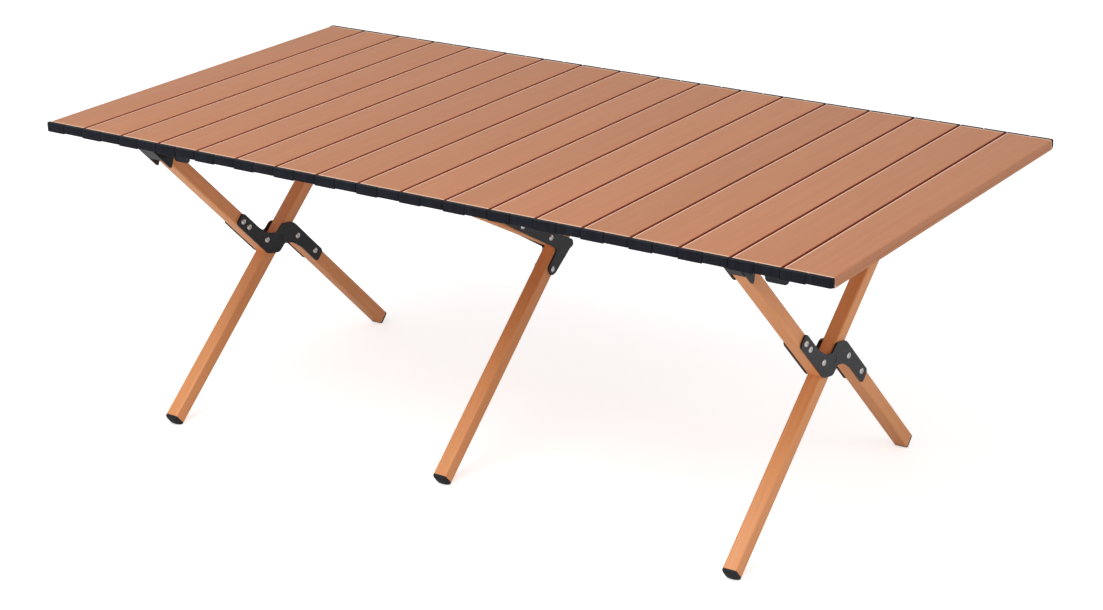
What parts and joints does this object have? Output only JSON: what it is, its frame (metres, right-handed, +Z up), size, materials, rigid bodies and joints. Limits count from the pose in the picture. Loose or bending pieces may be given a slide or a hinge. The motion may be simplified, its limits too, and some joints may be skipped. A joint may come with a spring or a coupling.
{
  "type": "folding camp table",
  "caption": "Low folding camp table with a roll-up slatted top on crossed square-tube leg frames.",
  "frame": {"origin": "on the floor, under the middle of the tabletop", "axes": "+X along the tabletop's length, towards its right end; +Y from the front edge to the back edge; +Z up from the floor"},
  "size_m": [1.1876, 0.612, 0.44],
  "materials": {
    "tabletop": "wood-grain coated extrusion in a warm pinkish brown, with black end caps",
    "leg_tubes": "wood-grain coated tube in orange brown",
    "plates": "satin black, with bright rivet heads",
    "hubs": "satin black, with bright pin heads",
    "spreader_bars": "satin black",
    "pins": "bright",
    "foot_caps": "matt black"
  },
  "bodies": {
    "mid_back_hub_body": {"mid_back_hub": "hubs"},
    "left_back_hub_body": {"left_back_hub": "hubs"},
    "left_front_hub_body": {"left_front_hub": "hubs"},
    "left_leg_body": {"left_leg": "leg_tubes", "left_leg_foot": "foot_caps"},
    "left_cross_body": {"left_cross_upper": "leg_tubes", "left_cross_lower": "leg_tubes", "left_cross_foot": "foot_caps", "left_plate_inner": "plates", "left_plate_outer": "plates", "left_pivot_pin": "plates"},
    "right_back_hub_body": {"right_back_hub": "hubs"},
    "right_front_hub_body": {"right_front_hub": "hubs"},
    "right_leg_body": {"right_leg": "leg_tubes", "right_leg_foot": "foot_caps"},
    "right_cross_body": {"right_cross_upper": "leg_tubes", "right_cross_lower": "leg_tubes", "right_cross_foot": "foot_caps", "right_plate_inner": "plates", "right_plate_outer": "plates", "right_pivot_pin": "plates"},
    "mid_leg_body": {"mid_leg": "leg_tubes", "mid_foot": "foot_caps", "mid_knee_pin": "pins"},
    "mid_strut_body": {"mid_strut": "leg_tubes", "mid_plate_left": "plates", "mid_plate_right": "plates"},
    "mid_front_hub_body": {"mid_front_hub": "hubs"},
    "spreader_front_left_outer_body": {"spreader_front_left_outer": "spreader_bars"},
    "spreader_front_left_inner_body": {"spreader_front_left_inner": "spreader_bars"},
    "spreader_front_right_outer_body": {"spreader_front_right_outer": "spreader_bars"},
    "spreader_front_right_inner_body": {"spreader_front_right_inner": "spreader_bars"},
    "spreader_back_left_outer_body": {"spreader_back_left_outer": "spreader_bars"},
    "spreader_back_left_inner_body": {"spreader_back_left_inner": "spreader_bars"},
    "spreader_back_right_outer_body": {"spreader_back_right_outer": "spreader_bars"},
    "spreader_back_right_inner_body": {"spreader_back_right_inner": "spreader_bars"},
    "slat_01_body": {"slat_01": "tabletop"},
    "slat_02_body": {"slat_02": "tabletop"},
    "slat_03_body": {"slat_03": "tabletop"},
    "slat_04_body": {"slat_04": "tabletop"},
    "slat_05_body": {"slat_05": "tabletop"},
    "slat_06_body": {"slat_06": "tabletop"},
    "slat_07_body": {"slat_07": "tabletop"},
    "slat_08_body": {"slat_08": "tabletop"},
    "slat_09_body": {"slat_09": "tabletop"},
    "slat_10_body": {"slat_10": "tabletop"},
    "slat_11_body": {"slat_11": "tabletop"},
    "slat_12_body": {"slat_12": "tabletop"},
    "slat_13_body": {"slat_13": "tabletop"},
    "slat_14_body": {"slat_14": "tabletop"},
    "slat_15_body": {"slat_15": "tabletop"},
    "slat_16_body": {"slat_16": "tabletop"},
    "slat_17_body": {"slat_17": "tabletop"},
    "slat_18_body": {"slat_18": "tabletop"}
  },
  "joints": [
    {"name": "length_fold", "type": "hinge", "parent": "mid_back_hub_body", "child": "spreader_back_right_inner_body", "pos_m": [0.011, 0.216, 0.4195], "axis": [0, 1, 0], "range_deg": [0, 86]},
    {"name": "back_right_knee", "type": "hinge", "parent": "spreader_back_right_inner_body", "child": "spreader_back_right_outer_body", "pos_m": [0.1995, 0.216, 0.4195], "axis": [0, 1, 0], "range_deg": [-172, 0]},
    {"name": "back_right_lug", "type": "hinge", "parent": "spreader_back_right_outer_body", "child": "right_back_hub_body", "pos_m": [0.388, 0.216, 0.4195], "axis": [0, 1, 0], "range_deg": [0, 86]},
    {"name": "back_left_inner_lug", "type": "hinge", "parent": "mid_back_hub_body", "child": "spreader_back_left_inner_body", "pos_m": [-0.073, 0.216, 0.4195], "axis": [0, 1, 0], "range_deg": [-86, 0]},
    {"name": "back_left_knee", "type": "hinge", "parent": "spreader_back_left_inner_body", "child": "spreader_back_left_outer_body", "pos_m": [-0.2505, 0.216, 0.4195], "axis": [0, 1, 0], "range_deg": [0, 172]},
    {"name": "back_left_lug", "type": "hinge", "parent": "spreader_back_left_outer_body", "child": "left_back_hub_body", "pos_m": [-0.428, 0.216, 0.4195], "axis": [0, 1, 0], "range_deg": [-86, 0]},
    {"name": "front_left_lug", "type": "hinge", "parent": "left_front_hub_body", "child": "spreader_front_left_outer_body", "pos_m": [-0.428, -0.216, 0.4195], "axis": [0, 1, 0], "range_deg": [0, 86]},
    {"name": "front_left_knee", "type": "hinge", "parent": "spreader_front_left_outer_body", "child": "spreader_front_left_inner_body", "pos_m": [-0.2505, -0.216, 0.4195], "axis": [0, 1, 0], "range_deg": [-172, 0]},
    {"name": "front_left_inner_lug", "type": "hinge", "parent": "spreader_front_left_inner_body", "child": "mid_front_hub_body", "pos_m": [-0.073, -0.216, 0.4195], "axis": [0, 1, 0], "range_deg": [0, 86]},
    {"name": "front_right_lug", "type": "hinge", "parent": "right_front_hub_body", "child": "spreader_front_right_outer_body", "pos_m": [0.388, -0.216, 0.4195], "axis": [0, 1, 0], "range_deg": [-86, 0]},
    {"name": "front_right_knee", "type": "hinge", "parent": "spreader_front_right_outer_body", "child": "spreader_front_right_inner_body", "pos_m": [0.1995, -0.216, 0.4195], "axis": [0, 1, 0], "range_deg": [0, 172]},
    {"name": "width_fold", "type": "hinge", "parent": "left_back_hub_body", "child": "left_leg_body", "pos_m": [-0.47, 0.216, 0.394], "axis": [1, 0, 0], "range_deg": [0, 43]},
    {"name": "left_cross_pivot", "type": "hinge", "parent": "left_leg_body", "child": "left_cross_body", "pos_m": [-0.47, 0, 0.2088], "axis": [1, 0, 0], "range_deg": [-86, 0]},
    {"name": "left_front_hub_pin", "type": "hinge", "parent": "left_cross_body", "child": "left_front_hub_body", "pos_m": [-0.47, -0.216, 0.394], "axis": [1, 0, 0], "range_deg": [0, 43]},
    {"name": "right_back_hub_pin", "type": "hinge", "parent": "right_back_hub_body", "child": "right_leg_body", "pos_m": [0.43, 0.216, 0.394], "axis": [1, 0, 0], "range_deg": [0, 43]},
    {"name": "right_cross_pivot", "type": "hinge", "parent": "right_leg_body", "child": "right_cross_body", "pos_m": [0.43, 0, 0.2088], "axis": [1, 0, 0], "range_deg": [-86, 0]},
    {"name": "right_front_hub_pin", "type": "hinge", "parent": "right_cross_body", "child": "right_front_hub_body", "pos_m": [0.43, -0.216, 0.394], "axis": [1, 0, 0], "range_deg": [0, 43]},
    {"name": "mid_back_hub_pin", "type": "hinge", "parent": "mid_back_hub_body", "child": "mid_leg_body", "pos_m": [-0.031, 0.239, 0.394], "axis": [1, 0, 0], "range_deg": [0, 43]},
    {"name": "mid_knee", "type": "hinge", "parent": "mid_leg_body", "child": "mid_strut_body", "pos_m": [-0.031, 0.0499, 0.22708], "axis": [1, 0, 0], "range_deg": [0, 64.5]},
    {"name": "top_lift", "type": "slide", "parent": "mid_back_hub_body", "child": "slat_09_body", "axis": [0, 0, 1], "range_m": [0, 1]},
    {"name": "slat_link_09_10", "type": "hinge", "parent": "slat_09_body", "child": "slat_10_body", "pos_m": [0, 0, 0.4275], "axis": [0, 1, 0], "range_deg": [0, 19.5]},
    {"name": "slat_link_10_11", "type": "hinge", "parent": "slat_10_body", "child": "slat_11_body", "pos_m": [0.066, 0, 0.4275], "axis": [0, 1, 0], "range_deg": [0, 19.5]},
    {"name": "slat_link_11_12", "type": "hinge", "parent": "slat_11_body", "child": "slat_12_body", "pos_m": [0.132, 0, 0.4275], "axis": [0, 1, 0], "range_deg": [0, 19.5]},
    {"name": "slat_link_12_13", "type": "hinge", "parent": "slat_12_body", "child": "slat_13_body", "pos_m": [0.198, 0, 0.4275], "axis": [0, 1, 0], "range_deg": [0, 19.5]},
    {"name": "slat_link_13_14", "type": "hinge", "parent": "slat_13_body", "child": "slat_14_body", "pos_m": [0.264, 0, 0.4275], "axis": [0, 1, 0], "range_deg": [0, 19.5]},
    {"name": "slat_link_14_15", "type": "hinge", "parent": "slat_14_body", "child": "slat_15_body", "pos_m": [0.33, 0, 0.4275], "axis": [0, 1, 0], "range_deg": [0, 19.5]},
    {"name": "slat_link_15_16", "type": "hinge", "parent": "slat_15_body", "child": "slat_16_body", "pos_m": [0.396, 0, 0.4275], "axis": [0, 1, 0], "range_deg": [0, 19.5]},
    {"name": "slat_link_16_17", "type": "hinge", "parent": "slat_16_body", "child": "slat_17_body", "pos_m": [0.462, 0, 0.4275], "axis": [0, 1, 0], "range_deg": [0, 19.5]},
    {"name": "slat_link_17_18", "type": "hinge", "parent": "slat_17_body", "child": "slat_18_body", "pos_m": [0.528, 0, 0.4275], "axis": [0, 1, 0], "range_deg": [0, 19.5]},
    {"name": "slat_link_08_09", "type": "hinge", "parent": "slat_09_body", "child": "slat_08_body", "pos_m": [-0.066, 0, 0.4275], "axis": [0, 1, 0], "range_deg": [-19.5, 0]},
    {"name": "slat_link_07_08", "type": "hinge", "parent": "slat_08_body", "child": "slat_07_body", "pos_m": [-0.132, 0, 0.4275], "axis": [0, 1, 0], "range_deg": [-19.5, 0]},
    {"name": "slat_link_06_07", "type": "hinge", "parent": "slat_07_body", "child": "slat_06_body", "pos_m": [-0.198, 0, 0.4275], "axis": [0, 1, 0], "range_deg": [-19.5, 0]},
    {"name": "slat_link_05_06", "type": "hinge", "parent": "slat_06_body", "child": "slat_05_body", "pos_m": [-0.264, 0, 0.4275], "axis": [0, 1, 0], "range_deg": [-19.5, 0]},
    {"name": "slat_link_04_05", "type": "hinge", "parent": "slat_05_body", "child": "slat_04_body", "pos_m": [-0.33, 0, 0.4275], "axis": [0, 1, 0], "range_deg": [-19.5, 0]},
    {"name": "slat_link_03_04", "type": "hinge", "parent": "slat_04_body", "child": "slat_03_body", "pos_m": [-0.396, 0, 0.4275], "axis": [0, 1, 0], "range_deg": [-19.5, 0]},
    {"name": "slat_link_02_03", "type": "hinge", "parent": "slat_03_body", "child": "slat_02_body", "pos_m": [-0.462, 0, 0.4275], "axis": [0, 1, 0], "range_deg": [-19.5, 0]},
    {"name": "slat_link_01_02", "type": "hinge", "parent": "slat_02_body", "child": "slat_01_body", "pos_m": [-0.528, 0, 0.4275], "axis": [0, 1, 0], "range_deg": [-19.5, 0]}
  ],
  "couplings": [
    {"joint": "back_right_knee", "follows": "length_fold", "ratio": -2},
    {"joint": "back_right_lug", "follows": "length_fold", "ratio": 1},
    {"joint": "back_left_inner_lug", "follows": "length_fold", "ratio": -1},
    {"joint": "back_left_knee", "follows": "length_fold", "ratio": 2},
    {"joint": "back_left_lug", "follows": "length_fold", "ratio": -1},
    {"joint": "front_left_lug", "follows": "length_fold", "ratio": 1},
    {"joint": "front_left_knee", "follows": "length_fold", "ratio": -2},
    {"joint": "front_left_inner_lug", "follows": "length_fold", "ratio": 1},
    {"joint": "front_right_lug", "follows": "length_fold", "ratio": -1},
    {"joint": "front_right_knee", "follows": "length_fold", "ratio": 2},
    {"joint": "left_cross_pivot", "follows": "width_fold", "ratio": -2},
    {"joint": "left_front_hub_pin", "follows": "width_fold", "ratio": 1},
    {"joint": "right_back_hub_pin", "follows": "width_fold", "ratio": 1},
    {"joint": "right_cross_pivot", "follows": "width_fold", "ratio": -2},
    {"joint": "right_front_hub_pin", "follows": "width_fold", "ratio": 1},
    {"joint": "mid_back_hub_pin", "follows": "width_fold", "ratio": 1},
    {"joint": "mid_knee", "follows": "width_fold", "ratio": 1.5},
    {"joint": "slat_link_09_10", "follows": "top_lift", "rad_per_m": 0.34},
    {"joint": "slat_link_10_11", "follows": "top_lift", "rad_per_m": 0.34},
    {"joint": "slat_link_11_12", "follows": "top_lift", "rad_per_m": 0.34},
    {"joint": "slat_link_12_13", "follows": "top_lift", "rad_per_m": 0.34},
    {"joint": "slat_link_13_14", "follows": "top_lift", "rad_per_m": 0.34},
    {"joint": "slat_link_14_15", "follows": "top_lift", "rad_per_m": 0.34},
    {"joint": "slat_link_15_16", "follows": "top_lift", "rad_per_m": 0.34},
    {"joint": "slat_link_16_17", "follows": "top_lift", "rad_per_m": 0.34},
    {"joint": "slat_link_17_18", "follows": "top_lift", "rad_per_m": 0.34},
    {"joint": "slat_link_08_09", "follows": "top_lift", "rad_per_m": -0.34},
    {"joint": "slat_link_07_08", "follows": "top_lift", "rad_per_m": -0.34},
    {"joint": "slat_link_06_07", "follows": "top_lift", "rad_per_m": -0.34},
    {"joint": "slat_link_05_06", "follows": "top_lift", "rad_per_m": -0.34},
    {"joint": "slat_link_04_05", "follows": "top_lift", "rad_per_m": -0.34},
    {"joint": "slat_link_03_04", "follows": "top_lift", "rad_per_m": -0.34},
    {"joint": "slat_link_02_03", "follows": "top_lift", "rad_per_m": -0.34},
    {"joint": "slat_link_01_02", "follows": "top_lift", "rad_per_m": -0.34}
  ]
}
